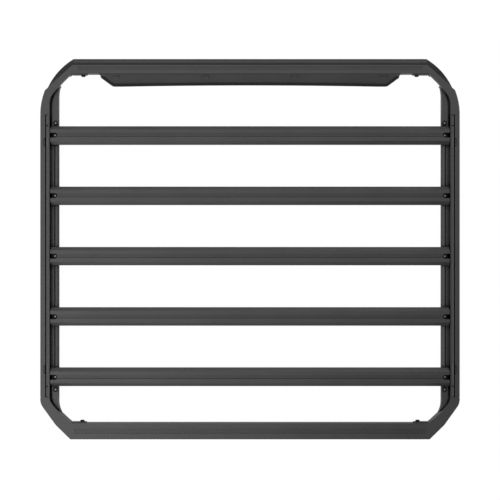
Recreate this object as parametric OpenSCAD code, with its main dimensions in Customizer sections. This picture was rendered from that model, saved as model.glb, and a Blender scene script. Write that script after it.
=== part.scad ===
// Flat platform roof rack: a frame of extruded rails joined by four corner castings,
// five extruded slats bolted between the side rails, and a wind fairing under the front rail.
// The origin is at the middle of the footprint, on the lowest point. +Y is the front.

/* [Overall] */
// Width over the two side rails
rack_w = 1251; // [1100:1:1500]
// Length from the front edge to the rear edge
rack_l = 1138.6; // [1120:0.1:1400]
// Depth of the fairing's lower edge below the top of the rack
fairing_drop = 60; // [50:1:80]

/* [Side rails] */
// Height of a side rail
side_h = 40; // [38:0.5:50]
// Width of a side rail's top face
side_top_w = 27.5; // [26:0.5:34]
// Width of the flange that carries the slats
flange_w = 23.5; // [23:0.1:30]
// Depth of that flange's upper face below the top of the rack
flange_drop = 25; // [24:0.5:26]
// Wall of the extrusions
wall_t = 2.5; // [2:0.1:3]
// Distance from the outer face to the top channel
channel_in = 14.5; // [13:0.1:15]
// Width of the top channel's mouth
channel_w = 9; // [8:0.1:9.5]
// Depth of the top channel
channel_d = 11; // [10:0.1:12]
// Undercut on each side of a channel's mouth
undercut = 1.5; // [1:0.1:2.2]
// Width of the mouth of the channel in the flange
slot_w = 10; // [9:0.1:11]
// Depth of the channel in the flange
slot_d = 11; // [8:0.1:12]
// Distance from the flange's inner edge to the middle of its channel
slot_in = 8; // [8:0.1:11]
// Bevel along the flange's inner edge
flange_bevel = 1.4; // [0.5:0.1:1.5]
// Chamfer on the long outer edges of the rails
edge_chamfer = 1; // [0.5:0.1:2]

/* [Channel strips] */
// Open slit left beside a strip
slit_w = 3; // [2:0.1:3.5]
// Depth of the top strip below the rail's top face
strip_down = 2.5; // [1:0.1:3]
// Depth of the flange strips below the flange
slot_strip_down = 0.5; // [0:0.1:2]
// Thickness of a strip's foot
strip_foot_t = 2; // [1.5:0.1:3]
// Length of an entry notch beside the top channel
notch_l = 18; // [10:0.5:30]
// Width of an entry notch beyond the channel's mouth
notch_w = 5.5; // [3:0.1:6]
// Distance from a rail's end to the middle of its entry notch
notch_in = 83; // [60:1:120]

/* [Front and rear rails] */
// Height of the front and rear rails
cross_h = 28; // [26.5:0.5:34]
// Width of the front rail
front_w = 47; // [44:0.5:52]
// Width of the rear rail
rear_w = 49.1; // [46:0.1:54]
// Reach of the cove along the front rail's leading face
cove_w = 21; // [16:0.5:23]
// Height of that cove
cove_h = 24; // [18:0.5:24]
// Width of the shallow recess along the front rail and the slats
recess_w = 10.5; // [8:0.5:12]
// Width of the shallow recess along the rear rail
rear_recess_w = 15; // [10:0.5:18]
// Depth of these recesses
recess_d = 1; // [0.4:0.1:1.2]
// Land between the front rail's inner edge and its recess
front_land = 10.6; // [8:0.1:12]
// Land between the rear rail's inner edge and its recess
rear_land = 16; // [12:0.5:20]
// Rounding of the rear rail's trailing edge
rear_round = 5; // [2:0.5:8]
// Wall behind that rounded edge
rear_wall_t = 5; // [3:0.5:8]

/* [Corner castings] */
// Length of a front casting along the side
front_cast_l = 169; // [160:1:190]
// Width of a front casting along the front
front_cast_w = 113; // [108:1:130]
// Distance from the side at which the front edge starts to sweep back
front_sweep_w = 96; // [92:1:104]
// Distance behind the front edge at which the cove dies out
cove_l = 97; // [80:1:110]
// Length of a rear casting along the side
rear_cast_l = 126.1; // [115:0.1:140]
// Width of a rear casting along the rear
rear_cast_w = 103; // [98:1:120]
// Distance from the side at which the rear edge starts to sweep in
rear_sweep_w = 90.5; // [86:0.5:96]
// Bend in the rear casting's edge, measured in from the side
rear_bend_w = 46.4; // [42:0.1:50]
// The same bend, measured forward from the rear edge
rear_bend_l = 43; // [38:0.1:46]
// Length of the rear casting's side before its outer curve
rear_straight_l = 5; // [2:0.5:8]
// Radius of the rear casting's outer curve
rear_curve_r = 43; // [36:1:46]
// Turn of that curve
rear_curve_turn = 38.5; // [34:0.5:42]
// Length of the front casting's inner face before it curves
front_straight_l = 32; // [15:1:36]
// Radius of the first part of the front casting's inner curve
front_inner_r = 50; // [40:1:60]
// Turn of that part
front_inner_turn = 36; // [30:0.5:38]
// Distance from the front joint to the knee where that face turns along the front
front_knee_in = 20; // [10:0.5:30]
// Radius of the first part of the rear casting's inner curve
rear_inner_r = 32; // [28:1:40]
// Turn of that part
rear_inner_turn = 36; // [30:0.5:38]
// Distance from the rear joint to the knee where that face turns along the rear
rear_knee_in = 7.8; // [6:0.1:20]
// Depth of the front casting's edge where its inner face is cut away below
front_lip_h = 16; // [14:0.5:18]
// Depth of that cut behind the face
front_cut_in = 8; // [4:0.5:10]
// Share of the inner curve's second part that lies ahead of that cut
front_cut_start = 0.4; // [0.35:0.01:0.5]
// Turn of that part left behind the cut, beside the knee
front_cut_rest = 1.5; // [1:0.1:3]
// Length of the straight inner edge of a front casting's flange
front_edge_l = 55; // [40:1:60]
// Radius in which that edge turns into the band
front_edge_r = 115; // [100:1:130]
// Turn of that edge before it meets the band
front_edge_turn = 16; // [14:0.5:18]
// Length of the straight groove beside the front casting's plate
front_plate_l = 25; // [15:1:30]
// Radius of the groove where it curves
front_plate_r = 95; // [90:1:110]
// Turn over which that groove dies out
front_plate_turn = 37; // [34:1:39]
// Length of the straight inner edge of a rear casting's flange
rear_edge_l = 14; // [10:1:26]
// Radius in which that edge turns towards the inner face
rear_edge_r = 70; // [60:1:80]
// Turn of that edge before it meets the face
rear_edge_turn = 40; // [36:0.5:42]
// Radius of the groove beside the rear casting's plate
rear_plate_r = 45; // [40:1:50]
// Turn over which that groove runs
rear_plate_turn = 58; // [54:1:60]
// Turn of the flange's edge at which the plate ends
rear_plate_end = 23; // [18:1:28]
// Length over which the rear casting's underside rises to the rear rail's
rear_rise_l = 20; // [10:1:30]
// Wall of the castings
cast_t = 4; // [3:0.1:5]
// Gap at each joint between a casting and a rail
seam_gap = 0.3; // [0.1:0.1:0.5]
// Chamfer on a casting's outer edge at each joint
seam_chamfer = 1.5; // [0.5:0.5:3]
// Length of the spigots that slide into the rails
spigot_l = 30; // [15:1:50]
// Clearance round a spigot
spigot_gap = 0.3; // [0.2:0.1:0.6]
// Thickness of the tongue that lies on a side rail's flange
tongue_t = 6; // [4:0.5:8]
// Width of that tongue
tongue_w = 17.5; // [14:0.5:18]
// Shift of that tongue towards the web, from the middle of the channel
tongue_shift = 1.5; // [0:0.1:2]
// Gap between the tongue's end and the nearest slat
tongue_gap = 2; // [1:0.1:4]
// Thickness of the lug that laps the inner face of the front or rear rail
lug_t = 3; // [2:0.1:4]
// Height of that lug
lug_h = 20; // [16:0.5:22]
// Length of a front lug past the joint
front_lug_l = 26; // [22:1:34]
// Length of a rear lug past the joint
rear_lug_l = 33; // [24:1:40]
// Distance from a lug's free end to its bolt
lug_bolt_in = 12; // [8:0.5:14]

/* [Slats] */
// Distance from a side rail's front end to the first slat
slat_front_in = 34; // [30:0.25:60]
// Distance from a side rail's rear end to the last slat
slat_rear_in = 32.25; // [30:0.25:60]
// Width of a slat at its base
slat_w = 55; // [50:0.5:58]
// Width of a slat's flat top
slat_top_w = 34; // [28:0.5:36]
// Distance of a slat's recess ahead of its middle
slat_recess_shift = 0.6; // [0:0.1:1.5]
// Width of the groove along that recess's rear edge
groove_w = 1.2; // [0.6:0.1:2]
// Depth of that groove below the recess
groove_d = 1.3; // [1:0.1:1.5]
// Height of the bevel on a slat's front and rear
slat_bevel_h = 11; // [8:0.5:13]
// Gap between a slat's end and the side rail's web
slat_end_gap = 2.5; // [1:0.1:4]
// Width of the open recess at each end of a slat
end_recess_w = 15; // [14:0.1:16]
// Width of the channel's mouth under a slat
under_w = 9; // [8:0.1:10]
// Width inside that channel
under_in_w = 17; // [16.5:0.1:18]
// Height inside that channel
under_h = 7; // [6:0.1:7.5]
// Length of slat end cut right through beyond the bolt's seat
end_cut = 4.7; // [2:0.1:6]

/* [Bolts] */
// Bore for the bolts through the slats and tongues
bolt_bore = 8.5; // [6.5:0.1:9]
// Bore for the bolts through the lugs
lug_bore = 6.5; // [5:0.1:8]
// Distance from a side rail's front end to the tongue's bolt
front_bolt_in = 24; // [18:0.1:26]
// Distance from a side rail's rear end to the tongue's bolt
rear_bolt_in = 21.2; // [18:0.1:24]

/* [Fairing] */
// Distance from the side of the rack to the end of the fairing's flange
fairing_in = 176; // [130:1:220]
// Distance that each end of the fairing tapers in as it drops
fairing_taper = 35; // [10:1:60]
// Thickness of the fairing's sheet
sheet_t = 3; // [2:0.1:4]
// Depth of the flange's upper edge below the top of the rack
fairing_start = 4; // [3:0.5:8]
// Distance that the fairing's face runs back as it drops
fairing_rake = 24; // [15:0.5:40]
// Rise of the lower edge at the middle, to suit a crowned roof
roof_crown = 4; // [1:0.5:10]
// Rounding of the fairing's lower corners
fairing_corner_r = 14; // [6:1:20]
// Rubber beyond the sheet's edge
trim_out = 2; // [1:0.1:3]
// Rubber on each side of the sheet
trim_side = 2; // [1:0.1:3]
// Grip of the rubber over the sheet
trim_grip = 5; // [3:0.1:8]
// Distance from the end of the fairing to the middle of its outer bracket
bracket_in = 46; // [36:1:80]
// Width of a fairing bracket
bracket_w = 20; // [16:0.5:26]
// Thickness of a fairing bracket
bracket_t = 1.6; // [1:0.1:3]
// Length of a bracket's lower leg
bracket_leg = 9; // [6:0.5:12]
// Width of each slot in a bracket
bracket_slot_w = 4; // [3:0.1:5]
// Distance between the two slots of a bracket
bracket_slot_pitch = 8; // [7:0.1:10]

/* [Hidden] */
$fn = 32;
cut = 1;

half_w = rack_w / 2;
half_l = rack_l / 2;
top_z = fairing_drop;
side_z = top_z - side_h;
cross_z = top_z - cross_h;
flange_z = top_z - flange_drop;

// Plan lines shared by the rails, castings and slats
front_seam_y = half_l - front_cast_l;
rear_seam_y = rear_cast_l - half_l;
front_seam_x = half_w - front_cast_w;
rear_seam_x = half_w - rear_cast_w;
rail_mid_y = (front_seam_y + rear_seam_y) / 2;
rail_l = front_seam_y - rear_seam_y - 2 * seam_gap;
web_x = half_w - side_top_w;
flange_x = web_x - flange_w;
slot_x = flange_x + slot_in;
front_in_y = half_l - front_w;
front_top_y = half_l - cove_w;
rear_in_y = rear_w - half_l;

// Slats at an even pitch along the side rails
bay_count = 4;
slat_front_y = front_seam_y - slat_front_in - slat_w / 2;
slat_rear_y = rear_seam_y + slat_rear_in + slat_w / 2;
slat_pitch = (slat_front_y - slat_rear_y) / bay_count;
slat_ys = [for (i = [0:bay_count]) slat_front_y - i * slat_pitch];

// Chamber inside a side rail, from its outer face inwards and from its base upwards
chamber_in = wall_t;
chamber_out = side_top_w - wall_t;
chamber_low = wall_t;
chamber_high = side_h - channel_d - wall_t;

// Lip over a channel
lip_t = wall_t;

function arc(cx, cy, r, a0, a1, steps) =
    [for (i = [0:steps]) let (a = a0 + (a1 - a0) * i / steps) [cx + r * cos(a), cy + r * sin(a)]];
function blend(p, q, f) = [p[0] + (q[0] - p[0]) * f, p[1] + (q[1] - p[1]) * f];

// Solid between rings of points that all have the same count, from the lowest ring up
module loft(rings) {
    count = len(rings[0]);
    points = [for (ring = rings) each ring];
    sides = [for (k = [0:len(rings) - 2]) for (i = [0:count - 1])
        let (j = (i + 1) % count)
        each [[k * count + i, k * count + count + i, k * count + j],
              [k * count + j, k * count + count + i, k * count + count + j]]];
    low = [for (i = [0:count - 1]) i];
    high = [for (i = [count - 1:-1:0]) (len(rings) - 1) * count + i];
    polyhedron(points = points, faces = concat([low], sides, [high]));
}

// Side rails
module side_section() {
    difference() {
        polygon([
            [half_w, side_z + edge_chamfer],
            [half_w, top_z - edge_chamfer],
            [half_w - edge_chamfer, top_z],
            [web_x, top_z],
            [web_x, flange_z],
            [flange_x + 2 * flange_bevel, flange_z],
            [flange_x, flange_z - flange_bevel],
            [flange_x, side_z],
            [half_w - edge_chamfer, side_z]
        ]);
        translate([half_w - channel_in - channel_w, top_z - channel_d])
            square([channel_w, channel_d + cut]);
        translate([half_w - channel_in - channel_w - undercut, top_z - channel_d])
            square([channel_w + 2 * undercut, channel_d - lip_t]);
        translate([half_w - chamber_out, side_z + chamber_low])
            square([chamber_out - chamber_in, chamber_high - chamber_low]);
        translate([slot_x - slot_w / 2, flange_z - slot_d])
            square([slot_w, slot_d + cut]);
        translate([slot_x - slot_w / 2 - undercut, flange_z - slot_d])
            square([slot_w + 2 * undercut, slot_d - lip_t]);
    }
}

module entry_notch() {
    mouth_x = half_w - channel_in;
    end_x = mouth_x + notch_w;
    lip_x = mouth_x - channel_w - undercut;
    translate([0, 0, top_z - strip_down])
        linear_extrude(strip_down + cut)
            polygon([
                [end_x, -notch_l / 2],
                [end_x, notch_l / 2],
                [mouth_x, notch_l / 2 + notch_w],
                [mouth_x - channel_w, notch_l / 2 + notch_w],
                [lip_x, notch_l / 2],
                [lip_x, -notch_l / 2],
                [mouth_x - channel_w, -notch_l / 2 - notch_w],
                [mouth_x, -notch_l / 2 - notch_w]
            ]);
}

module side_rail() {
    color([0.24, 0.24, 0.25])
    difference() {
        translate([0, rail_mid_y, 0])
            rotate([90, 0, 0])
                linear_extrude(rail_l, center = true)
                    side_section();
        for (s = [-1, 1])
            translate([0, rail_mid_y + s * (rail_l / 2 - notch_in), 0])
                entry_notch();
    }
}

// Strips that fill the channels of the side rails
module strip_section(mouth_lo, mouth_hi, floor_z, strip_z, lip_z) {
    neck_hi = mouth_hi - slit_w;
    polygon([
        [mouth_lo - undercut, floor_z],
        [mouth_hi + undercut, floor_z],
        [mouth_hi + undercut, floor_z + strip_foot_t],
        [neck_hi, floor_z + strip_foot_t],
        [neck_hi, strip_z],
        [mouth_lo, strip_z],
        [mouth_lo, lip_z],
        [mouth_lo - undercut, lip_z]
    ]);
}

module top_strip() {
    mouth_hi = half_w - channel_in;
    color([0.13, 0.13, 0.13])
    translate([0, rail_mid_y, 0])
        rotate([90, 0, 0])
            linear_extrude(rail_l, center = true)
                strip_section(mouth_hi - channel_w, mouth_hi, top_z - channel_d,
                    top_z - strip_down, top_z - lip_t);
}

module flange_strips() {
    bay = slat_pitch - slat_w;
    color([0.13, 0.13, 0.13])
    for (i = [0:bay_count - 1])
        translate([0, (slat_ys[i] + slat_ys[i + 1]) / 2, 0])
            rotate([90, 0, 0])
                linear_extrude(bay, center = true)
                    strip_section(slot_x - slot_w / 2, slot_x + slot_w / 2, flange_z - slot_d,
                        flange_z - slot_strip_down, flange_z - lip_t);
}

// Front and rear rails
cove_steps = 6;
cove_turn = 72;
round_steps = 6;
cove_f = [for (i = [0:cove_steps]) (1 - cos(cove_turn * i / cove_steps)) / (1 - cos(cove_turn))];
cove_z = [for (i = [0:cove_steps]) top_z - cove_h * sin(cove_turn * i / cove_steps) / sin(cove_turn)];

front_hollow_lo = front_in_y + wall_t;
front_hollow_hi = front_top_y - wall_t;
rear_hollow_lo = -half_l + rear_wall_t;
rear_hollow_hi = rear_in_y - wall_t;
hollow_low = cross_z + wall_t;
hollow_high = top_z - wall_t - recess_d;

module front_section() {
    difference() {
        polygon(concat(
            [[front_in_y, cross_z], [front_in_y, top_z],
             [front_in_y + front_land, top_z], [front_in_y + front_land, top_z - recess_d],
             [front_in_y + front_land + recess_w, top_z - recess_d],
             [front_in_y + front_land + recess_w, top_z]],
            [for (i = [0:cove_steps]) [front_top_y + cove_w * cove_f[i], cove_z[i]]],
            [[half_l, cross_z]]
        ));
        translate([front_hollow_lo, hollow_low])
            square([front_hollow_hi - front_hollow_lo, hollow_high - hollow_low]);
    }
}

module rear_section() {
    recess_hi = rear_in_y - rear_land;
    difference() {
        polygon(concat(
            [[rear_in_y, cross_z], [rear_in_y, top_z],
             [recess_hi, top_z], [recess_hi, top_z - recess_d],
             [recess_hi - rear_recess_w, top_z - recess_d], [recess_hi - rear_recess_w, top_z]],
            arc(-half_l + rear_round, top_z - rear_round, rear_round, 90, 180, round_steps),
            [[-half_l, cross_z]]
        ));
        translate([rear_hollow_lo, hollow_low])
            square([rear_hollow_hi - rear_hollow_lo, hollow_high - hollow_low]);
    }
}

module front_rail() {
    color([0.22, 0.22, 0.23])
    rotate([90, 0, 90])
        linear_extrude(2 * (front_seam_x - seam_gap), center = true)
            front_section();
}

module rear_rail() {
    color([0.24, 0.24, 0.25])
    rotate([90, 0, 90])
        linear_extrude(2 * (rear_seam_x - seam_gap), center = true)
            rear_section();
}

// Arc that leaves point p square to the radius at angle a and ends at point q: its radius,
// its centre and its end angle
function run_r(p, q, a) = (q - p) * (q - p) / (2 * (p - q) * [cos(a), sin(a)]);
function run_c(p, q, a) = p - run_r(p, q, a) * [cos(a), sin(a)];
function run_end(p, q, a) = let (d = q - run_c(p, q, a)) atan2(d[1], d[0]);

// Plan of a front casting, on the right-hand side
sweep_r = (front_sweep_w * front_sweep_w + front_cast_l * front_cast_l) / (2 * front_sweep_w);
sweep_turn = asin(front_cast_l / sweep_r);
cove_end_turn = asin((front_cast_l - cove_l) / sweep_r);
sweep_start = asin(seam_chamfer / sweep_r);
sweep_steps = 14;
free_steps = 4;
curve_steps = 8;

function sweep_point(a) = [half_w - sweep_r + sweep_r * cos(a), front_seam_y + sweep_r * sin(a)];
function chord_point(t) =
    blend(sweep_point(cove_end_turn), [half_w - front_sweep_w, front_top_y], t);
function front_outline(f) = concat(
    [[front_seam_x, front_seam_y], [half_w - seam_chamfer, front_seam_y]],
    [for (i = [0:free_steps]) sweep_point(sweep_start + (cove_end_turn - sweep_start) * i / free_steps)],
    [for (i = [1:sweep_steps])
        let (t = i / sweep_steps)
        blend(chord_point(t), sweep_point(cove_end_turn + (sweep_turn - cove_end_turn) * t), f)],
    [[front_seam_x, front_top_y + cove_w * f]]
);
front_curve_y = front_seam_y + front_straight_l;
front_knee = [front_seam_x + front_knee_in, front_in_y];
front_bend = [web_x, front_curve_y]
    - front_inner_r * [1 - cos(front_inner_turn), -sin(front_inner_turn)];
front_run_r = run_r(front_bend, front_knee, front_inner_turn);
front_run_c = run_c(front_bend, front_knee, front_inner_turn);
front_run_end = run_end(front_bend, front_knee, front_inner_turn);

// Inner face from the side rail's web to the knee, moved out by a distance
function front_run(out, a0, a1) =
    arc(front_run_c[0], front_run_c[1], front_run_r + out, a0, a1, curve_steps);
function front_bend_arc(out) =
    arc(web_x - front_inner_r, front_curve_y, front_inner_r + out, 0, front_inner_turn, curve_steps);
front_void = concat(
    [[front_seam_x - cut, front_seam_y - cut], [web_x, front_seam_y - cut]],
    front_bend_arc(0),
    front_run(0, front_inner_turn, front_run_end),
    [[front_seam_x - cut, front_in_y]]
);

// The lower part of that face is cut away between the flange and the knee
cut_from = front_inner_turn + (front_run_end - front_inner_turn) * front_cut_start;
cut_to = front_run_end - front_cut_rest;
front_cut = concat(
    front_run(-cut, cut_from, cut_to),
    front_run(front_cut_in, cut_to, cut_from)
);

// Plan of a rear casting, on the right-hand side
rear_start_y = rear_seam_y - rear_straight_l;
rear_outline = concat(
    [[rear_seam_x, rear_seam_y], [rear_seam_x, -half_l + seam_chamfer],
     [rear_seam_x + seam_chamfer, -half_l], [half_w - rear_sweep_w, -half_l],
     [half_w - rear_bend_w, -half_l + rear_bend_l]],
    arc(half_w - rear_curve_r, rear_start_y, rear_curve_r, -rear_curve_turn, 0, curve_steps),
    [[half_w, rear_seam_y - seam_chamfer], [half_w - seam_chamfer, rear_seam_y]]
);
rear_knee = [rear_seam_x + rear_knee_in, rear_in_y];
rear_bend = [web_x, rear_seam_y] - rear_inner_r * [1 - cos(rear_inner_turn), sin(rear_inner_turn)];
rear_run_r = run_r(rear_bend, rear_knee, -rear_inner_turn);
rear_run_c = run_c(rear_bend, rear_knee, -rear_inner_turn);
rear_run_end = run_end(rear_bend, rear_knee, -rear_inner_turn);

// Inner face from the knee to the side rail's web, moved out by a distance
function rear_run(out, a0, a1) =
    arc(rear_run_c[0], rear_run_c[1], rear_run_r + out, a0, a1, curve_steps);
function rear_bend_arc(out) =
    arc(web_x - rear_inner_r, rear_seam_y, rear_inner_r + out, -rear_inner_turn, 0, curve_steps);
rear_void = concat(
    [[rear_seam_x - cut, rear_seam_y + cut], [rear_seam_x - cut, rear_in_y]],
    rear_run(0, rear_run_end, -rear_inner_turn),
    rear_bend_arc(0),
    [[web_x, rear_seam_y + cut]]
);

tongue_x = slot_x - tongue_w / 2 + tongue_shift;
tongue_out = tongue_x + tongue_w;
bite = cast_t / 2;

// Inner edge of each casting's flange, which runs on from the side rail's flange
front_edge = concat(
    arc(flange_x - front_edge_r, front_seam_y + front_edge_l, front_edge_r, front_edge_turn, 0,
        curve_steps),
    [[flange_x, front_seam_y]]
);
function rear_edge(turn) = concat(
    [[flange_x, rear_seam_y]],
    arc(flange_x - rear_edge_r, rear_seam_y - rear_edge_l, rear_edge_r, 0, -turn, curve_steps)
);
front_flange = concat(
    [[web_x + bite, front_seam_y]],
    front_bend_arc(bite),
    front_run(bite, front_inner_turn, cut_from),
    front_edge
);
rear_flange = concat(
    rear_edge(rear_edge_turn),
    rear_run(bite, (rear_run_end - rear_inner_turn) / 2, -rear_inner_turn),
    rear_bend_arc(bite)
);

// Raised plate on each flange, parted from the web by a groove that dies out round the corner
front_plate = concat(
    [[tongue_out, front_seam_y]],
    arc(tongue_out - front_plate_r, front_seam_y + front_plate_l, front_plate_r, 0, front_plate_turn,
        curve_steps),
    [front_run(bite, front_inner_turn, cut_from)[curve_steps]],
    front_edge
);
rear_plate = concat(
    rear_edge(rear_plate_end),
    arc(tongue_out - rear_plate_r, rear_seam_y, rear_plate_r, -rear_plate_turn, 0, curve_steps)
);

// Solid block of the casting's plan, hollowed from below and stiffened by ribs
module front_shell() {
    difference() {
        loft(concat(
            [[for (p = front_outline(1)) [p[0], p[1], side_z]]],
            [for (i = [cove_steps:-1:0]) [for (p = front_outline(cove_f[i])) [p[0], p[1], cove_z[i]]]]
        ));
        translate([0, 0, side_z - cut])
            linear_extrude(side_h + 2 * cut)
                polygon(front_void);
        translate([0, 0, side_z - cut])
            linear_extrude(side_h - front_lip_h + cut)
                polygon(front_cut);
        difference() {
            translate([0, 0, side_z - cut])
                linear_extrude(side_h - cast_t + cut)
                    offset(delta = -cast_t)
                        difference() {
                            polygon(front_outline(0));
                            polygon(front_void);
                            polygon(front_cut);
                        }
            front_ribs();
        }
    }
}

// Ribs stand square to the outer sweep
front_rib_turns = [15, 40, 65];
module front_ribs() {
    for (turn = front_rib_turns)
        translate([half_w - sweep_r, front_seam_y, side_z])
            rotate([0, 0, turn])
                translate([0, -wall_t / 2, 0])
                    cube([sweep_r + cut, wall_t, side_h]);
}

module rear_shell() {
    difference() {
        translate([0, 0, side_z])
            linear_extrude(side_h)
                difference() {
                    polygon(rear_outline);
                    polygon(rear_void);
                }
        difference() {
            translate([0, 0, side_z - cut])
                linear_extrude(side_h - cast_t + cut)
                    offset(delta = -cast_t)
                        difference() {
                            polygon(rear_outline);
                            polygon(rear_void);
                        }
            rear_ribs();
        }
        // The trailing edge is rounded like the rear rail's
        translate([0, -half_l, top_z])
            rotate([90, 0, 90])
                linear_extrude(half_w)
                    difference() {
                        translate([-cut, -rear_round])
                            square([rear_round + cut, rear_round + cut]);
                        translate([rear_round, -rear_round])
                            circle(rear_round);
                    }
    }
}

// Ribs fan out from the corner where the two joints meet
rear_rib_turns = [-25, -45, -65];
module rear_ribs() {
    for (turn = rear_rib_turns)
        translate([rear_seam_x, rear_seam_y, side_z])
            rotate([0, 0, turn])
                translate([0, -wall_t / 2, 0])
                    cube([rear_cast_w + rear_cast_l, wall_t, side_h]);
}

// The casting is as deep as the side rail at one end and as the cross rail at the other
module underside_cut(from_y, to_y, end_y) {
    rotate([90, 0, 90])
        linear_extrude(half_w + cut)
            polygon([[from_y, side_z], [to_y, cross_z], [end_y, cross_z],
                     [end_y, side_z - cut], [from_y, side_z - cut]]);
}

module tongue(seam_y, end_y, bolt_y) {
    low_y = min(seam_y, end_y);
    difference() {
        translate([tongue_x, low_y, flange_z])
            cube([tongue_w, abs(seam_y - end_y), tongue_t]);
        translate([slot_x, bolt_y, flange_z - cut])
            cylinder(d = bolt_bore, h = tongue_t + 2 * cut);
    }
}

module spigot(x0, x1, y0, y1, z0, z1) {
    translate([x0, y0, z0])
        cube([x1 - x0, y1 - y0, z1 - z0]);
}

// Lug that runs from the casting's knee to lap the inner face of a cross rail
module lug(free_x, knee_x, low_y) {
    mid_z = top_z - fairing_start - lug_h / 2;
    difference() {
        translate([free_x, low_y, mid_z - lug_h / 2])
            cube([knee_x - free_x, lug_t, lug_h]);
        translate([free_x + lug_bolt_in, low_y, mid_z])
            rotate([90, 0, 0])
                cylinder(d = lug_bore, h = 4 * lug_t, center = true);
    }
}

module corner_front() {
    color([0.22, 0.22, 0.23]) {
        difference() {
            union() {
                front_shell();
                translate([0, 0, side_z])
                    linear_extrude(side_h - flange_drop)
                        polygon(front_flange);
                translate([0, 0, flange_z])
                    linear_extrude(tongue_t)
                        polygon(front_plate);
            }
            underside_cut(front_seam_y + front_edge_l + front_edge_r * sin(front_edge_turn),
                front_in_y, half_l + cut);
        }
        tongue(front_seam_y + cut, slat_ys[0] + slat_w / 2 + tongue_gap,
            front_seam_y - front_bolt_in);
        lug(front_seam_x - front_lug_l, front_knee[0], front_in_y - lug_t);
        spigot(front_seam_x - spigot_l, front_seam_x + bite,
            front_hollow_lo + spigot_gap, front_hollow_hi - spigot_gap,
            hollow_low + spigot_gap, hollow_high - spigot_gap);
        spigot(half_w - chamber_out + spigot_gap, half_w - chamber_in - spigot_gap,
            front_seam_y - spigot_l, front_seam_y + bite,
            side_z + chamber_low + spigot_gap, side_z + chamber_high - spigot_gap);
    }
}

module corner_rear() {
    color([0.24, 0.24, 0.25]) {
        difference() {
            union() {
                rear_shell();
                translate([0, 0, side_z])
                    linear_extrude(side_h - flange_drop)
                        polygon(rear_flange);
                translate([0, 0, flange_z])
                    linear_extrude(tongue_t)
                        polygon(rear_plate);
            }
            underside_cut(rear_in_y + rear_rise_l, rear_in_y, -half_l - cut);
        }
        tongue(rear_seam_y - cut, slat_ys[bay_count] - slat_w / 2 - tongue_gap,
            rear_seam_y + rear_bolt_in);
        lug(rear_seam_x - rear_lug_l, rear_knee[0], rear_in_y);
        spigot(rear_seam_x - spigot_l, rear_seam_x + bite,
            rear_hollow_lo + spigot_gap, rear_hollow_hi - spigot_gap,
            hollow_low + spigot_gap, hollow_high - spigot_gap);
        spigot(half_w - chamber_out + spigot_gap, half_w - chamber_in - spigot_gap,
            rear_seam_y - bite, rear_seam_y + spigot_l,
            side_z + chamber_low + spigot_gap, side_z + chamber_high - spigot_gap);
    }
}

// Slats
slat_l = 2 * (web_x - slat_end_gap);
bolt_x = slot_x;
seat_z = flange_z + lip_t + under_h + wall_t;
cell_in = under_in_w / 2 + wall_t;

module slat_section() {
    low = slat_w / 2;
    high = slat_top_w / 2;
    side = flange_drop - slat_bevel_h;
    recess_lo = slat_recess_shift - recess_w / 2;
    difference() {
        polygon([
            [-low + edge_chamfer, 0], [-low, edge_chamfer], [-low, side], [-high, flange_drop],
            [high, flange_drop], [low, side], [low, edge_chamfer], [low - edge_chamfer, 0]
        ]);
        translate([recess_lo, flange_drop - recess_d])
            square([recess_w, recess_d + cut]);
        translate([recess_lo, flange_drop - recess_d - groove_d])
            square([groove_w, groove_d + cut]);
        // Channel on the underside
        translate([-under_w / 2, -cut])
            square([under_w, lip_t + under_h + cut]);
        translate([-under_in_w / 2, lip_t])
            square([under_in_w, under_h]);
        // Cell over the channel
        translate([-under_in_w / 2, lip_t + under_h + wall_t])
            square([under_in_w, flange_drop - lip_t - under_h - 2 * wall_t - recess_d]);
        // Cells at the front and rear
        for (s = [-1, 1])
            polygon([
                [s * cell_in, wall_t], [s * (low - wall_t), wall_t],
                [s * (low - wall_t), side - wall_t / 2],
                [s * (high - wall_t / 2), flange_drop - wall_t],
                [s * cell_in, flange_drop - wall_t]
            ]);
    }
}

module slat(y) {
    color([0.25, 0.25, 0.26])
    translate([0, y, flange_z])
        difference() {
            rotate([90, 0, 90])
                linear_extrude(slat_l, center = true)
                    slat_section();
            for (s = [-1, 1]) {
                translate([s * bolt_x, 0, seat_z - flange_z])
                    cylinder(d = end_recess_w, h = flange_drop);
                translate([s * bolt_x, 0, -cut])
                    cylinder(d = bolt_bore, h = flange_drop);
                translate([s * (bolt_x + slat_l / 2) / 2, 0, seat_z - flange_z + flange_drop / 2])
                    cube([slat_l / 2 - bolt_x + cut, end_recess_w, flange_drop], center = true);
                translate([s * slat_l / 2, 0, 0])
                    cube([2 * end_cut, end_recess_w, 3 * flange_drop], center = true);
            }
        }
}

// Fairing: a flange on the front rail's inner face, and a face that drops and runs back
fairing_half_w = half_w - fairing_in;
fairing_low_half_w = fairing_half_w - fairing_taper;
fairing_top_z = top_z - fairing_start;
bend_z = cross_z;
bend_y = front_in_y - sheet_t;
foot_z = trim_out;
foot_y = bend_y - fairing_rake;
rake_turn = atan2(bend_z - foot_z, bend_y - foot_y);

// Band between two offsets from the sheet's rear face, along the flange and down the face
module sheet_section(behind, ahead, low, high) {
    half_turn = (90 - rake_turn) / 2;
    run = [cos(rake_turn), sin(rake_turn)];
    function bend_at(d) = [bend_y + d, bend_z - d * tan(half_turn)];
    function foot_at(d) = bend_at(d) - run * ((bend_z - d * tan(half_turn) - low) / run[1]);
    polygon([
        [bend_y - behind, high], bend_at(-behind), foot_at(-behind),
        foot_at(ahead), bend_at(ahead), [bend_y + ahead, high]
    ]);
}

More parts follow.
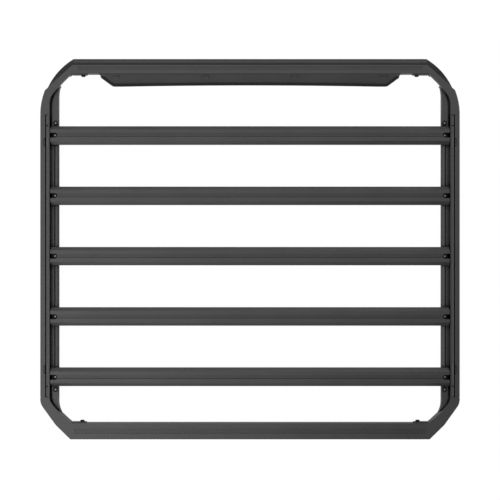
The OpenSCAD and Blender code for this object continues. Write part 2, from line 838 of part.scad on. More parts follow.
// Front view of the fairing, grown outwards by the given distance
crown_steps = 24;
module fairing_outline(grow) {
    span = fairing_low_half_w - 2 * fairing_corner_r;
    crown_r = (span * span + roof_crown * roof_crown) / (2 * roof_crown);
    crown_turn = asin(span / crown_r);
    above = top_z + 2 * fairing_corner_r;
    offset(delta = grow)
        offset(r = fairing_corner_r)
            offset(delta = -fairing_corner_r)
                difference() {
                    polygon([
                        [-fairing_half_w, above], [-fairing_half_w, bend_z],
                        [-fairing_low_half_w, foot_z], [fairing_low_half_w, foot_z],
                        [fairing_half_w, bend_z], [fairing_half_w, above]
                    ]);
                    polygon(arc(0, foot_z + roof_crown - crown_r, crown_r,
                        90 - crown_turn, 90 + crown_turn, crown_steps));
                }
}

module fairing_prism(grow) {
    translate([0, front_in_y + cut, 0])
        rotate([90, 0, 0])
            linear_extrude(front_w + fairing_rake)
                fairing_outline(grow);
}

module sheet_prism(behind, ahead, low, high) {
    rotate([90, 0, 90])
        linear_extrude(rack_w, center = true)
            sheet_section(behind, ahead, low, high);
}

module wind_fairing() {
    color([0.16, 0.16, 0.165])
    intersection() {
        sheet_prism(0, sheet_t, -cut, fairing_top_z);
        fairing_prism(0);
    }
}

module fairing_edge_trim() {
    color([0.07, 0.07, 0.07])
    difference() {
        intersection() {
            sheet_prism(trim_side, sheet_t + trim_side, -2 * trim_out, fairing_top_z);
            fairing_prism(trim_out);
            translate([-rack_w / 2, -half_l, -cut])
                cube([rack_w, rack_l, bend_z - trim_side + cut]);
        }
        fairing_prism(-trim_grip);
        intersection() {
            sheet_prism(0, sheet_t, -2 * trim_out, fairing_top_z);
            fairing_prism(0);
        }
    }
}

// Four brackets at an even pitch
bracket_x2 = fairing_half_w - bracket_in;
bracket_x1 = bracket_x2 / 3;

module fairing_bracket(x) {
    leg_z = bend_z - bracket_leg;
    color([0.2, 0.2, 0.2])
    translate([x, 0, 0])
        difference() {
            rotate([90, 0, 90])
                linear_extrude(bracket_w, center = true)
                    sheet_section(bracket_t, 0, leg_z, fairing_top_z);
            for (s = [-1, 1])
                translate([s * bracket_slot_pitch / 2, bend_y, (bend_z + fairing_top_z) / 2])
                    cube([bracket_slot_w, 4 * bracket_t, bracket_leg], center = true);
        }
}

module left() {
    mirror([1, 0, 0])
        children();
}

left() side_rail();  // side_rail_left
side_rail();  // side_rail_right
front_rail();
rear_rail();
left() corner_front();  // corner_front_left
corner_front();  // corner_front_right
left() corner_rear();  // corner_rear_left
corner_rear();  // corner_rear_right
slat(slat_ys[0]);  // slat_1
slat(slat_ys[1]);  // slat_2
slat(slat_ys[2]);  // slat_3
slat(slat_ys[3]);  // slat_4
slat(slat_ys[4]);  // slat_5
wind_fairing();
fairing_edge_trim();
fairing_bracket(-bracket_x2);  // fairing_bracket_1
fairing_bracket(-bracket_x1);  // fairing_bracket_2
fairing_bracket(bracket_x1);  // fairing_bracket_3
fairing_bracket(bracket_x2);  // fairing_bracket_4
left() top_strip();  // top_strip_left
top_strip();  // top_strip_right
left() flange_strips();  // flange_strips_left
flange_strips();  // flange_strips_right
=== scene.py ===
import bpy
import bmesh
import math
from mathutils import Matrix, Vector


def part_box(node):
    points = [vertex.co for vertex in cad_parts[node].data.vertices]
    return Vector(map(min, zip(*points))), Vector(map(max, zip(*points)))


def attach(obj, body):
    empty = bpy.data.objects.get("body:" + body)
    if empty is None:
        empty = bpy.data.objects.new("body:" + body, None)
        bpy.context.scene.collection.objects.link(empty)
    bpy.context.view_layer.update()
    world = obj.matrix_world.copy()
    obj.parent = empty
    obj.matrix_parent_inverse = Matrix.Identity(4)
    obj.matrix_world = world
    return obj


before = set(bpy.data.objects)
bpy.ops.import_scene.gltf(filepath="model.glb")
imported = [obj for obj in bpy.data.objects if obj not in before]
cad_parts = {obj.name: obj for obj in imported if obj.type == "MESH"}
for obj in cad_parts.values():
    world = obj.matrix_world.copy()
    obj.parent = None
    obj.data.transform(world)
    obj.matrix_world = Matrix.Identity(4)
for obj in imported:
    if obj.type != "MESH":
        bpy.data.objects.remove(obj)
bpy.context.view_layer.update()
mm = 0.001
sides = ((-1, "left"), (1, "right"))

# The photograph was taken straight down, with the front of the rack at the top of the picture
cameraSet = {
    "place": (0.0, -3.9 * mm, 3580 * mm),
    "lens": 85.0,
    "sensor": 36.0,
    "farEnd": 100.0,
}


def addCamera(values):
    data = bpy.data.cameras.new("topCamera")
    data.lens = values["lens"]
    data.sensor_width = values["sensor"]
    data.clip_end = values["farEnd"]
    cam = bpy.data.objects.new("topCamera", data)
    cam.location = values["place"]  # no turn: a new camera looks down -Z with +Y up
    bpy.context.scene.collection.objects.link(cam)
    bpy.context.scene.camera = cam


addCamera(cameraSet)
print("camera placed")


# Materials

def toLinear(hexColour):
    parts = [int(hexColour[i:i + 2], 16) / 255 for i in (0, 2, 4)]
    return [c / 12.92 if c <= 0.04045 else ((c + 0.055) / 1.055) ** 2.4 for c in parts] + [1.0]


# A number instead of a name is a socket's place in the node's list
def addNode(tree, kind, values, links=()):
    node = tree.nodes.new(kind)
    for name, value in values.items():
        if isinstance(name, int) or name in node.inputs.keys():
            node.inputs[name].default_value = value
        else:
            setattr(node, name, value)
    for socket, source in links:
        tree.links.new(source, node.inputs[socket])
    return node


def newMaterial(name):
    mat = bpy.data.materials.new(name)
    mat.use_nodes = True
    mat.node_tree.nodes.clear()
    return mat, mat.node_tree


# Powder coat on aluminium: baked polyester powder, satin black with a fine orange-peel grain.
# It gives soft wide highlights. On an extrusion faint die lines show through along its length.
powderCoatSet = {
    "dark": "272728",
    "light": "2c2c2d",
    "patchMm": 140.0,       # slow change of tone along a rail
    "patchFrom": 0.35,      # noise at which the dark tone starts to give way
    "patchTo": 0.65,
    "grainMm": 1.6,         # real grain is about 0.3 mm, drawn coarser so that it shows
    "grainFrom": 0.3,
    "grainTo": 0.7,
    "grainDepthMm": 0.05,
    "grainStrength": 0.5,
    "dieLineMm": 2.2,       # spacing of the die lines across an extrusion
    "dieLineLengthMm": 900.0,
    "lineDepthMm": 0.02,
    "lineStrength": 0.6,
    "roughLow": 0.36,
    "roughHigh": 0.46,
    "sheen": 0.5,           # the shader's level for an ordinary clear film
    "edge": "484849",
    "edgeMm": 1.2,          # width of a painted highlight, a lighter band over an edge
    "edgeFrom": 0.98,       # cosine of the softened normal's turn where the painted highlight starts
    "edgeTo": 0.8,          # and where it is full
    "edgeShare": 0.5,
    "nookMm": 14.0,         # reach of the painted shade on colour and sheen in slits and inside corners
    "nookTop": 0.1,         # openness at which a face that looks up is fully in painted shade
    "nookWall": 0.62,       # the same for an upright face
    "openAir": 0.8,         # openness at which a face is free of painted shade
    "recessZ": 59.0,        # floor of the shallow recess along a cross rail
    "recessReach": 0.2,
    # painted shade on the recess floor, as a factor; 1 leaves it out
    "recessShadeFactor": 1.0,
}
waveBand = 0.628            # length along an axis of one diagonal band of the wave at scale 1


def grainBump(tree, place, grain, along, values):
    bump = addNode(tree, "ShaderNodeBump",
                   {"Strength": values["grainStrength"], "Distance": values["grainDepthMm"] * mm},
                   [("Height", grain.outputs["Fac"])])
    if not along:
        return bump
    fine = 1 / (values["dieLineMm"] * mm)
    coarse = 1 / (values["dieLineLengthMm"] * mm)
    stretch = addNode(tree, "ShaderNodeMapping",
                      {"Scale": (coarse if along == "x" else fine,
                                 coarse if along == "y" else fine, fine)},
                      [("Vector", place.outputs["Object"])])
    lines = addNode(tree, "ShaderNodeTexNoise", {"Scale": 1.0, "Detail": 1.0, "Roughness": 0.4},
                    [("Vector", stretch.outputs["Vector"])])
    return addNode(tree, "ShaderNodeBump",
                   {"Strength": values["lineStrength"], "Distance": values["lineDepthMm"] * mm},
                   [("Height", lines.outputs["Fac"]), ("Normal", bump.outputs["Normal"])])


# Over an edge a softened normal turns away from the face's own. There a lighter colour is painted in
# as a painted highlight.
def paintedEdgeHighlight(tree, tone, flat, values):
    soft = addNode(tree, "ShaderNodeBevel", {"samples": 4, "Radius": values["edgeMm"] * mm})
    turned = addNode(tree, "ShaderNodeVectorMath", {"operation": "DOT_PRODUCT"},
                     [(0, soft.outputs["Normal"]), (1, flat.outputs["True Normal"])])
    highlightBand = addNode(tree, "ShaderNodeMapRange",
                   {"From Min": values["edgeFrom"], "From Max": values["edgeTo"],
                    "To Min": 0.0, "To Max": values["edgeShare"]},
                   [("Value", turned.outputs["Value"])])
    return addNode(tree, "ShaderNodeMix", {"data_type": "RGBA", 7: toLinear(values["edge"])},
                   [(0, highlightBand.outputs["Result"]), (6, tone.outputs["Color"])])


# Painted shade: where ambient occlusion finds slits and inside corners, colour and sheen darken
def paintedNookShade(tree, facing, values):
    nook = addNode(tree, "ShaderNodeAmbientOcclusion",
                   {"samples": 8, "Distance": values["nookMm"] * mm})
    darkest = addNode(tree, "ShaderNodeMapRange",
                      {"To Min": values["nookWall"], "To Max": values["nookTop"]},
                      [("Value", facing.outputs["Z"])])
    return addNode(tree, "ShaderNodeMapRange", {"From Max": values["openAir"]},
                   [("Value", nook.outputs["AO"]), ("From Min", darkest.outputs["Result"])])


# The recess is found by its height, and a painted shade darkens its floor. Where there is a knurl,
# the painted shade slants along the recess in lighter and darker bands.
def paintedRecessShade(tree, place, height, values):
    recess = addNode(tree, "ShaderNodeMath",
                     {"operation": "COMPARE", 1: values["recessZ"] * mm,
                      2: values["recessReach"] * mm},
                     [(0, height.outputs["Z"])])
    shade = addNode(tree, "ShaderNodeMapRange", {"To Min": 1.0, "To Max": values["recessShadeFactor"]},
                    [("Value", recess.outputs["Value"])])
    if "knurlMm" in values:
        knurl = addNode(tree, "ShaderNodeTexWave",
                        {"bands_direction": "DIAGONAL", "Detail": 1.0,
                         "Scale": waveBand / (values["knurlMm"] * mm),
                         "Distortion": values["knurlWander"]},
                        [("Vector", place.outputs["Object"])])
        ridge = addNode(tree, "ShaderNodeMapRange",
                        {"To Min": values["recessShadeFactor"] - values["knurlDepth"],
                         "To Max": values["recessShadeFactor"] + values["knurlDepth"]},
                        [("Value", knurl.outputs["Fac"])])
        tree.links.new(ridge.outputs["Result"], shade.inputs["To Max"])
    return shade


# The cove's faces look outwards and lean back, neither level nor upright. On them a painted shade
# darkens the coat towards the top.
def paintedCoveShade(tree, place, flat, facing, height, values):
    outward = addNode(tree, "ShaderNodeVectorMath", {"operation": "DOT_PRODUCT"},
                      [(0, place.outputs["Object"]), (1, flat.outputs["True Normal"])])
    outer = addNode(tree, "ShaderNodeMath",
                    {"operation": "GREATER_THAN", 1: values["coveOutward"]},
                    [(0, outward.outputs["Value"])])
    leaning = addNode(tree, "ShaderNodeMath",
                      {"operation": "COMPARE", 1: values["coveLean"], 2: values["coveLeanReach"]},
                      [(0, facing.outputs["Z"])])
    inCove = addNode(tree, "ShaderNodeMath", {"operation": "MULTIPLY"},
                     [(0, outer.outputs["Value"]), (1, leaning.outputs["Value"])])
    fade = addNode(tree, "ShaderNodeMapRange",
                   {"From Min": values["coveLow"] * mm, "From Max": values["coveHigh"] * mm,
                    "To Min": values["coveShadeFoot"], "To Max": values["coveShadeCrown"]},
                   [("Value", height.outputs["Z"])])
    return addNode(tree, "ShaderNodeMapRange", {"To Min": 1.0},
                   [("Value", inCove.outputs["Value"]), ("To Max", fade.outputs["Result"])])


# An extrusion gives the axis that its die lines run along
def powderCoat(name, values, along=""):
    mat, tree = newMaterial(name)
    place = addNode(tree, "ShaderNodeTexCoord", {})
    flat = addNode(tree, "ShaderNodeNewGeometry", {})
    facing = addNode(tree, "ShaderNodeSeparateXYZ", {}, [("Vector", flat.outputs["True Normal"])])
    height = addNode(tree, "ShaderNodeSeparateXYZ", {}, [("Vector", place.outputs["Object"])])
    patch = addNode(tree, "ShaderNodeTexNoise",
                    {"Scale": 1 / (values["patchMm"] * mm), "Detail": 2.0, "Roughness": 0.5},
                    [("Vector", place.outputs["Object"])])
    grain = addNode(tree, "ShaderNodeTexNoise",
                    {"Scale": 1 / (values["grainMm"] * mm), "Detail": 3.0, "Roughness": 0.6},
                    [("Vector", place.outputs["Object"])])
    tone = addNode(tree, "ShaderNodeValToRGB", {}, [("Fac", patch.outputs["Fac"])])
    tone.color_ramp.elements[0].position = values["patchFrom"]
    tone.color_ramp.elements[0].color = toLinear(values["dark"])
    tone.color_ramp.elements[1].position = values["patchTo"]
    tone.color_ramp.elements[1].color = toLinear(values["light"])
    colour = paintedEdgeHighlight(tree, tone, flat, values)
    rough = addNode(tree, "ShaderNodeMapRange",
                    {"From Min": values["grainFrom"], "From Max": values["grainTo"],
                     "To Min": values["roughLow"], "To Max": values["roughHigh"]},
                    [("Value", grain.outputs["Fac"])])
    bump = grainBump(tree, place, grain, along, values)
    # The painted shade of nooks, recess and cove scales the colour and the sheen
    shade = addNode(tree, "ShaderNodeMath", {"operation": "MULTIPLY"},
                    [(0, paintedNookShade(tree, facing, values).outputs["Result"]),
                     (1, paintedRecessShade(tree, place, height, values).outputs["Result"])])
    if "coveShadeFoot" in values:
        cove = paintedCoveShade(tree, place, flat, facing, height, values)
        shade = addNode(tree, "ShaderNodeMath", {"operation": "MULTIPLY"},
                        [(0, shade.outputs["Value"]), (1, cove.outputs["Result"])])
    shaded = addNode(tree, "ShaderNodeVectorMath", {"operation": "SCALE"},
                     [("Vector", colour.outputs[2]), ("Scale", shade.outputs["Value"])])
    sheen = addNode(tree, "ShaderNodeMath", {"operation": "MULTIPLY", 1: values["sheen"]},
                    [(0, shade.outputs["Value"])])
    shader = addNode(tree, "ShaderNodeBsdfPrincipled", {"IOR": 1.5, "Metallic": 0.0},
                     [("Base Color", shaded.outputs["Vector"]),
                      ("Roughness", rough.outputs["Result"]),
                      ("Specular IOR Level", sheen.outputs["Value"]),
                      ("Normal", bump.outputs["Normal"])])
    addNode(tree, "ShaderNodeOutputMaterial", {}, [("Surface", shader.outputs["BSDF"])])
    return mat


# In the deep slits of the side rails the painted shade on colour and sheen reaches further out and
# goes darker
sideRailSet = dict(powderCoatSet, nookMm=20.0, nookWall=0.7)
sideRailCoat = powderCoat("powderCoatedAluminiumSideRail", sideRailSet, "y")

# The cross rails' recess floors are darkened by a painted shade
crossRailSet = dict(powderCoatSet, recessShadeFactor=0.88)
crossRailCoat = powderCoat("powderCoatedAluminiumCrossRail", crossRailSet, "x")

# The end rails' recesses have a slanting knurl. Its pitch is guessed, and its ridges are drawn
# as painted light and shade, in lighter and darker bands.
endRailSet = dict(crossRailSet, knurlMm=11.0, knurlDepth=0.16, knurlWander=0.6)
rearRailCoat = powderCoat("powderCoatedAluminiumRearRail", endRailSet, "x")

# Along the cove of the front a painted shade darkens the coat from the leading edge up to the top
coveShadeSet = {
    "coveLow": 36.0,        # heights between which the painted shade deepens
    "coveHigh": 47.0,
    "coveShadeFoot": 0.72,
    "coveShadeCrown": 0.26,
    "coveOutward": 0.1,     # metres from the rack's middle, along the way that a face looks
    "coveLean": 0.5,        # how far up a face looks, from 0 for upright to 1 for level
    "coveLeanReach": 0.46,
}
frontRailCoat = powderCoat("powderCoatedAluminiumFrontRail", dict(endRailSet, **coveShadeSet), "x")

# Cast aluminium corners: the skin under the coat is coarser than an extrusion's and has no
# die lines
castingSet = dict(powderCoatSet, grainMm=2.2, grainDepthMm=0.08, nookMm=8.0)
castingCoat = powderCoat("powderCoatedCastAluminium", castingSet)
frontCastingCoat = powderCoat("powderCoatedCastAluminiumFront", dict(castingSet, **coveShadeSet))

# Folded sheet: the same coat, more matt. Its colour is painted a little lighter as painted light,
# and its painted shade in nooks reaches further and is deeper on its top faces
fairingSet = dict(powderCoatSet, dark="363637", light="3b3b3c", grainMm=1.2, roughLow=0.55,
                  roughHigh=0.65, nookMm=30.0, nookTop=0.35)
fairingCoat = powderCoat("powderCoatedAluminiumSheet", fairingSet)

# EPDM rubber: extruded and cured, matt, deep black with a faint bloom in patches
rubberSet = {
    "dark": "0c0c0c",
    "light": "161616",
    "bloomMm": 30.0,
    "grainMm": 0.9,
    "grainDepthMm": 0.04,
    "grainStrength": 0.5,
    "roughLow": 0.72,
    "roughHigh": 0.88,
    "sheen": 0.5,
    "nookMm": 10.0,
    "nookMin": 0.3,         # openness at which a face is fully in painted shade
    "openAir": 0.7,
}


def rubber(name, values):
    mat, tree = newMaterial(name)
    place = addNode(tree, "ShaderNodeTexCoord", {})
    bloom = addNode(tree, "ShaderNodeTexNoise",
                    {"Scale": 1 / (values["bloomMm"] * mm), "Detail": 4.0},
                    [("Vector", place.outputs["Object"])])
    grain = addNode(tree, "ShaderNodeTexNoise",
                    {"Scale": 1 / (values["grainMm"] * mm), "Detail": 2.0},
                    [("Vector", place.outputs["Object"])])
    tone = addNode(tree, "ShaderNodeValToRGB", {}, [("Fac", bloom.outputs["Fac"])])
    tone.color_ramp.elements[0].color = toLinear(values["dark"])
    tone.color_ramp.elements[1].color = toLinear(values["light"])
    rough = addNode(tree, "ShaderNodeMapRange",
                    {"To Min": values["roughLow"], "To Max": values["roughHigh"]},
                    [("Value", bloom.outputs["Fac"])])
    # Painted shade: where ambient occlusion finds nooks, colour and sheen darken
    nook = addNode(tree, "ShaderNodeAmbientOcclusion",
                   {"samples": 8, "Distance": values["nookMm"] * mm})
    shade = addNode(tree, "ShaderNodeMapRange",
                    {"From Min": values["nookMin"], "From Max": values["openAir"]},
                    [("Value", nook.outputs["AO"])])
    shaded = addNode(tree, "ShaderNodeVectorMath", {"operation": "SCALE"},
                     [("Vector", tone.outputs["Color"]), ("Scale", shade.outputs["Result"])])
    sheen = addNode(tree, "ShaderNodeMath", {"operation": "MULTIPLY", 1: values["sheen"]},
                    [(0, shade.outputs["Result"])])
    bump = addNode(tree, "ShaderNodeBump",
                   {"Strength": values["grainStrength"], "Distance": values["grainDepthMm"] * mm},
                   [("Height", grain.outputs["Fac"])])
    shader = addNode(tree, "ShaderNodeBsdfPrincipled", {"IOR": 1.5, "Metallic": 0.0},
                     [("Base Color", shaded.outputs["Vector"]),
                      ("Roughness", rough.outputs["Result"]),
                      ("Specular IOR Level", sheen.outputs["Value"]),
                      ("Normal", bump.outputs["Normal"])])
    addNode(tree, "ShaderNodeOutputMaterial", {}, [("Surface", shader.outputs["BSDF"])])
    return mat


# The strips are a dark grey rubber with a slower change of tone
stripSet = dict(rubberSet, dark="4a4a4c", light="525254", bloomMm=90.0, nookMm=12.0, nookMin=0.4)
edgeRubber = rubber("epdmRubberEdging", rubberSet)
stripRubber = rubber("epdmRubberStrip", stripSet)

# Black-oxide steel: rolled and then blackened in a hot bath. The socket's floor is painted as
# light bare steel, a painted highlight in the middle of the head.
blackOxideSet = {
    "dark": "060606",
    "light": "0e0e0f",
    "mottleMm": 2.0,
    "roughLow": 0.42,
    "roughHigh": 0.55,
    "metal": 0.3,
    "sheen": 0.25,
}


def blackenedSteel(name, values):
    mat, tree = newMaterial(name)
    place = addNode(tree, "ShaderNodeTexCoord", {})
    mottle = addNode(tree, "ShaderNodeTexNoise",
                     {"Scale": 1 / (values["mottleMm"] * mm), "Detail": 3.0},
                     [("Vector", place.outputs["Object"])])
    tone = addNode(tree, "ShaderNodeValToRGB", {}, [("Fac", mottle.outputs["Fac"])])
    tone.color_ramp.elements[0].color = toLinear(values["dark"])
    tone.color_ramp.elements[1].color = toLinear(values["light"])
    rough = addNode(tree, "ShaderNodeMapRange",
                    {"To Min": values["roughLow"], "To Max": values["roughHigh"]},
                    [("Value", mottle.outputs["Fac"])])
    shader = addNode(tree, "ShaderNodeBsdfPrincipled",
                     {"Metallic": values["metal"], "Specular IOR Level": values["sheen"]},
                     [("Base Color", tone.outputs["Color"]), ("Roughness", rough.outputs["Result"])])
    addNode(tree, "ShaderNodeOutputMaterial", {}, [("Surface", shader.outputs["BSDF"])])
    return mat


# The socket's painted highlight: light steel, nearly all metal
brightSocketSet = dict(blackOxideSet, dark="707070", light="909090", roughLow=0.3, roughHigh=0.5,
                 metal=0.9)
boltSteel = blackenedSteel("blackOxideSteel", blackOxideSet)
socketSteel = blackenedSteel("paintedHighlightSocketSteel", brightSocketSet)

slatNames = ["slat_%d" % number for number in range(1, 6)]
bracketNames = ["fairing_bracket_%d" % number for number in range(1, 5)]
nodeFinishes = [
    (sideRailCoat, ["side_rail_left", "side_rail_right"]),
    (frontRailCoat, ["front_rail"]),
    (rearRailCoat, ["rear_rail"]),
    (crossRailCoat, slatNames),
    (frontCastingCoat, ["corner_front_left", "corner_front_right"]),
    (castingCoat, ["corner_rear_left", "corner_rear_right"]),
    (fairingCoat, ["wind_fairing"] + bracketNames),
    (edgeRubber, ["fairing_edge_trim"]),
    (stripRubber, ["top_strip_left", "top_strip_right",
                   "flange_strips_left", "flange_strips_right"]),
]
for finish, nodeNames in nodeFinishes:
    for nodeName in nodeNames:
        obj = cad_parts[nodeName]
        if not obj.material_slots:
            obj.data.materials.append(finish)
        for holder in obj.material_slots:
            holder.material = finish
print("finishes set on the CAD nodes")


# Bolts and screws

smoothAngle = math.radians(35)


def dropSelection():
    if bpy.context.object and bpy.context.object.mode != "OBJECT":
        bpy.ops.object.mode_set(mode="OBJECT")
    bpy.ops.object.select_all(action="DESELECT")


def selectOnly(obj):
    dropSelection()
    obj.select_set(True)
    bpy.context.view_layer.objects.active = obj


def applyModifiers(obj):
    selectOnly(obj)
    for modifier in list(obj.modifiers):
        bpy.ops.object.modifier_apply(modifier=modifier.name)


def applyPlace(obj):
    selectOnly(obj)
    bpy.ops.object.transform_apply(location=True, rotation=True, scale=True)


def pick(obj, kind, keep):
    bpy.ops.object.mode_set(mode="EDIT")
    bpy.ops.mesh.select_all(action="DESELECT")
    bpy.ops.mesh.select_mode(type=kind)
    mesh = bmesh.from_edit_mesh(obj.data)
    for element in (mesh.faces if kind == "FACE" else mesh.edges):
        element.select_set(keep(element))
    mesh.select_flush_mode()
    bmesh.update_edit_mesh(obj.data)


def addDisc(name, wide, high, count):
    dropSelection()
    bpy.ops.mesh.primitive_cylinder_add(vertices=count, radius=wide / 2 * mm, depth=high * mm,
                                        location=(0, 0, high / 2 * mm))
    disc = bpy.context.object
    disc.name = name
    return disc


# Button-head bolt with a hexagon socket, modelled upright with its seat at z = 0
boltSet = {
    "headWide": 14.0,
    "headHigh": 5.5,
    "dome": 2.6,
    "domeSteps": 4,
    "domeRound": 0.6,
    "socketWide": 5.6,      # across the corners
    "socketDeep": 3.0,
    "socketLip": 0.5,       # the socket is painted bright below this depth, a painted highlight
    "shankWide": 7.8,
    "shankDeep": 14.0,
    "sides": 24,
}


def buildBolt(name, values):
    head = addDisc(name, values["headWide"], values["headHigh"], values["sides"])
    top = values["headHigh"] * mm
    pick(head, "EDGE", lambda e: all(abs(v.co.z - top / 2) < 1e-6 for v in e.verts))
    bpy.ops.mesh.bevel(offset=values["dome"] * mm, segments=values["domeSteps"],
                       profile=values["domeRound"], affect="EDGES")
    # The shank grows out of the seat
    pick(head, "FACE", lambda f: f.normal.z < -0.9)
    bpy.ops.mesh.inset(thickness=(values["headWide"] - values["shankWide"]) / 2 * mm)
    bpy.ops.mesh.extrude_region_move(
        TRANSFORM_OT_translate={"value": (0, 0, -values["shankDeep"] * mm)})
    bpy.ops.object.mode_set(mode="OBJECT")
    bpy.ops.mesh.primitive_cylinder_add(vertices=6, radius=values["socketWide"] / 2 * mm,
                                        depth=2 * values["socketDeep"] * mm,
                                        location=(0, 0, top))
    key = bpy.context.object
    cutter = head.modifiers.new("socket", "BOOLEAN")
    cutter.operation = "DIFFERENCE"
    cutter.solver = "EXACT"
    cutter.object = key
    head.data.materials.append(boltSteel)
    head.data.materials.append(socketSteel)
    applyModifiers(head)
    bpy.data.objects.remove(key)
    applyPlace(head)
    # Faces deep in the socket take the painted highlight
    for face in head.data.polygons:
        mid = face.center
        inSocket = math.hypot(mid.x, mid.y) < values["socketWide"] / 2 * mm
        face.material_index = 1 if inSocket and top - mid.z > values["socketLip"] * mm else 0
    bpy.ops.object.shade_smooth_by_angle(angle=smoothAngle)
    return head


# Countersunk screws hold the strips in the top channels
screwSet = {
    "headWide": 4.6,
    "headHigh": 0.7,
    "rim": 0.3,
    "rimSteps": 2,
    "driveWide": 2.4,
    "driveDeep": 0.4,
    "sides": 16,
}


def buildScrew(name, values):
    head = addDisc(name, values["headWide"], values["headHigh"], values["sides"])
    pick(head, "EDGE", lambda e: all(v.co.z > 0 for v in e.verts))
    bpy.ops.mesh.bevel(offset=values["rim"] * mm, segments=values["rimSteps"], affect="EDGES")
    pick(head, "FACE", lambda f: f.normal.z > 0.99)
    bpy.ops.mesh.inset(thickness=(values["headWide"] - values["driveWide"]) / 2 * mm)
    bpy.ops.mesh.extrude_region_move(
        TRANSFORM_OT_translate={"value": (0, 0, -values["driveDeep"] * mm)})
    bpy.ops.object.mode_set(mode="OBJECT")
    head.data.materials.append(boltSteel)
    applyPlace(head)
    bpy.ops.object.shade_smooth_by_angle(angle=smoothAngle)
    return head


def placeCopy(pattern, name, place, turn=0.0, tilt=0.0):
    obj = pattern.copy()
    obj.data = pattern.data.copy()
    obj.name = name
    bpy.context.scene.collection.objects.link(obj)
    obj.rotation_euler = (math.radians(tilt), 0, math.radians(turn))
    obj.location = [v * mm for v in place]
    applyPlace(obj)
    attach(obj, "root")


def middle(nodeName, axis):
    low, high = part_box(nodeName)
    return (low[axis] + high[axis]) / 2 / mm


# Slats and castings are bolted down to the side rails. The turns, in degrees, keep the sockets
# from standing all alike.
deckPlaces = {
    "x": 582.5,
    "slatSeat": 47.0,
    "slatTurn": 17,
    "sideTurn": 41,
    "tongueSeat": 41.0,
    "tongueFront": 376.3,
    "tongueRear": -422.0,
    "tongueTurn": 29,
}
deckBolt = buildBolt("deckBolt", boltSet)
for number, slatName in enumerate(slatNames, 1):
    for side, word in sides:
        placeCopy(deckBolt, "slat%dBolt_%s" % (number, word),
                  (side * deckPlaces["x"], middle(slatName, 1), deckPlaces["slatSeat"]),
                  deckPlaces["slatTurn"] * number + deckPlaces["sideTurn"] * side)
for side, word in sides:
    for end, y in (("front", deckPlaces["tongueFront"]), ("rear", deckPlaces["tongueRear"])):
        placeCopy(deckBolt, "tongueBolt_%s_%s" % (end, word),
                  (side * deckPlaces["x"], y, deckPlaces["tongueSeat"]),
                  deckPlaces["tongueTurn"] * side)
bpy.data.objects.remove(deckBolt)
print("deck bolts placed")

# A lug on each casting is bolted to the inner face of the front or rear rail
lugSet = dict(boltSet, headWide=13.0, headHigh=5.0, shankWide=6.0, shankDeep=2.8)
lugPlaces = {
    "z": 46.0,
    "ends": {"front": (498.5, 519.3, 90), "rear": (501.5, -517.2, -90)},  # x, face, tilt
}
lugBolt = buildBolt("lugBolt", lugSet)
for side, word in sides:
    for end, (x, face, tilt) in lugPlaces["ends"].items():
        placeCopy(lugBolt, "lugBolt_%s_%s" % (end, word), (side * x, face, lugPlaces["z"]),
                  tilt=tilt)
bpy.data.objects.remove(lugBolt)
print("lug bolts placed")

# Two small bolts go through the slots of each fairing bracket
bracketSet = dict(boltSet, headWide=5.0, headHigh=2.2, dome=0.8, socketWide=2.0, socketDeep=1.0,
                  shankWide=3.0, shankDeep=1.6, sides=16)
bracketPlaces = {"apart": 8.0, "face": 517.7, "z": 50.0}
bracketBolt = buildBolt("bracketBolt", bracketSet)
for number, bracketName in enumerate(bracketNames, 1):
    for side, word in sides:
        placeCopy(bracketBolt, "bracketBolt%d_%s" % (number, word),
                  (middle(bracketName, 0) + side * bracketPlaces["apart"] / 2,
                   bracketPlaces["face"], bracketPlaces["z"]), tilt=90)
bpy.data.objects.remove(bracketBolt)
print("bracket bolts placed")

screwPlaces = {"x": 605.0, "front": 367.3, "rear": -410.2, "seat": 57.5, "turn": 23}
stripScrew = buildScrew("stripScrew", screwSet)
for side, word in sides:
    for end in ("front", "rear"):
        placeCopy(stripScrew, "stripScrew_%s_%s" % (end, word),
                  (side * screwPlaces["x"], screwPlaces[end], screwPlaces["seat"]),
                  screwPlaces["turn"] * side)
bpy.data.objects.remove(stripScrew)
print("strip screws placed")


# Floor, world and lamps

floorSet = {
    "wide": 40.0,
    "paint": "b0b0b0",
    "whiteStrength": 1.08,
    "whiteShare": 0.9,      # how much of its look is plain white; the rest takes the shadow
    "glossyShare": 0.4,     # how far the rack's sheen shows that white too
}
worldSet = {"lightStrength": 0.2}  # a weak fill; the camera sees the world as plain white

# Panels of plain white light, all turned to the rack's middle. Most of it comes from the rear
# left, because in the photograph the rack's left side is the lighter one.
lampSet = {
    # name: middle, width and height in metres, radiance
    "overheadFront": ((0.0, 1.9, 5.0), (6.4, 3.4), 1.45),
    "overheadRearLeft": ((-1.9, -1.6, 5.0), (3.6, 3.6), 2.75),
    "overheadRearRight": ((1.9, -1.6, 5.0), (3.6, 3.6), 0.2),
    "leftRearPanel": ((-3.6, -2.8, 2.2), (2.6, 2.4), 2.4),
    "rearPanel": ((-2.15, -4.0, 1.0), (5.6, 2.0), 2.65),
    "frontPanel": ((0.0, 4.6, 1.9), (6.0, 2.4), 1.2),
    "frontLowPanel": ((0.0, 1.5, 0.3), (2.4, 0.5), 1.8),
}


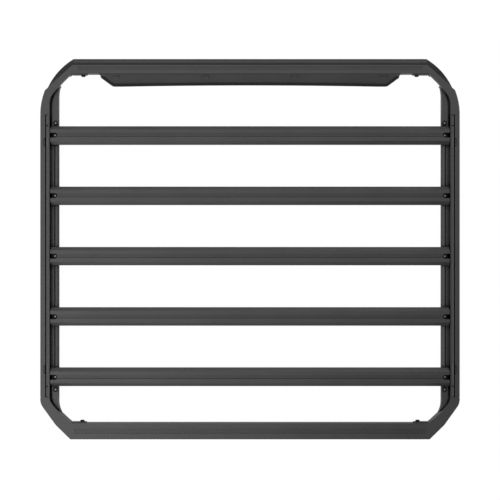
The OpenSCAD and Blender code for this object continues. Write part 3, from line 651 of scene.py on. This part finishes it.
# Floor paint: rolled on, matt and pale. To the camera most of its look is plain white, and to
# a sheen a part of it.
def floorPaint(name, values):
    mat, tree = newMaterial(name)
    ray = addNode(tree, "ShaderNodeLightPath", {})
    glossy = addNode(tree, "ShaderNodeMath", {"operation": "MULTIPLY", 1: values["glossyShare"]},
                     [(0, ray.outputs["Is Glossy Ray"])])
    seen = addNode(tree, "ShaderNodeMath", {"operation": "MAXIMUM"},
                   [(0, ray.outputs["Is Camera Ray"]), (1, glossy.outputs["Value"])])
    seen = addNode(tree, "ShaderNodeMath", {"operation": "MAXIMUM"},
                   [(0, seen.outputs["Value"]), (1, ray.outputs["Is Transmission Ray"])])
    share = addNode(tree, "ShaderNodeMath", {"operation": "MULTIPLY", 1: values["whiteShare"]},
                    [(0, seen.outputs["Value"])])
    white = addNode(tree, "ShaderNodeEmission",
                    {"Color": (1, 1, 1, 1), "Strength": values["whiteStrength"]})
    paint = addNode(tree, "ShaderNodeBsdfDiffuse", {"Color": toLinear(values["paint"])})
    mixed = addNode(tree, "ShaderNodeMixShader", {},
                    [(0, share.outputs["Value"]), (1, paint.outputs["BSDF"]),
                     (2, white.outputs["Emission"])])
    # Seen from below the floor is clear, so that the underside can be looked at
    side = addNode(tree, "ShaderNodeNewGeometry", {})
    clear = addNode(tree, "ShaderNodeBsdfTransparent", {})
    faced = addNode(tree, "ShaderNodeMixShader", {},
                    [(0, side.outputs["Backfacing"]), (1, mixed.outputs["Shader"]),
                     (2, clear.outputs["BSDF"])])
    addNode(tree, "ShaderNodeOutputMaterial", {}, [("Surface", faced.outputs["Shader"])])
    return mat


def buildFloor(values):
    dropSelection()
    bpy.ops.mesh.primitive_plane_add(size=values["wide"], location=(0, 0, 0))
    floor = bpy.context.object
    floor.name = "floor"
    floor.data.materials.append(floorPaint("paleFloorPaint", values))


def buildWorld(values):
    world = bpy.data.worlds.new("paleStudio")
    bpy.context.scene.world = world
    world.use_nodes = True
    tree = world.node_tree
    tree.nodes.clear()
    ray = addNode(tree, "ShaderNodeLightPath", {})
    white = addNode(tree, "ShaderNodeBackground", {"Color": (1, 1, 1, 1), "Strength": 1.0})
    light = addNode(tree, "ShaderNodeBackground",
                    {"Color": (1, 1, 1, 1), "Strength": values["lightStrength"]})
    mixed = addNode(tree, "ShaderNodeMixShader", {},
                    [(0, ray.outputs["Is Camera Ray"]), (1, light.outputs["Background"]),
                     (2, white.outputs["Background"])])
    addNode(tree, "ShaderNodeOutputWorld", {}, [("Surface", mixed.outputs["Shader"])])


def addLamps(values):
    for name, (place, size, radiance) in values.items():
        data = bpy.data.lights.new(name, "AREA")
        data.shape = "RECTANGLE"
        data.size, data.size_y = size
        data.energy = radiance * math.pi * size[0] * size[1]  # watts for this radiance
        lamp = bpy.data.objects.new(name, data)
        lamp.location = place
        lamp.rotation_euler = (-Vector(place)).to_track_quat("-Z", "Y").to_euler()
        bpy.context.scene.collection.objects.link(lamp)


buildFloor(floorSet)
buildWorld(worldSet)
addLamps(lampSet)
bpy.context.scene.view_settings.view_transform = "Standard"
print("floor, world and lamps set")
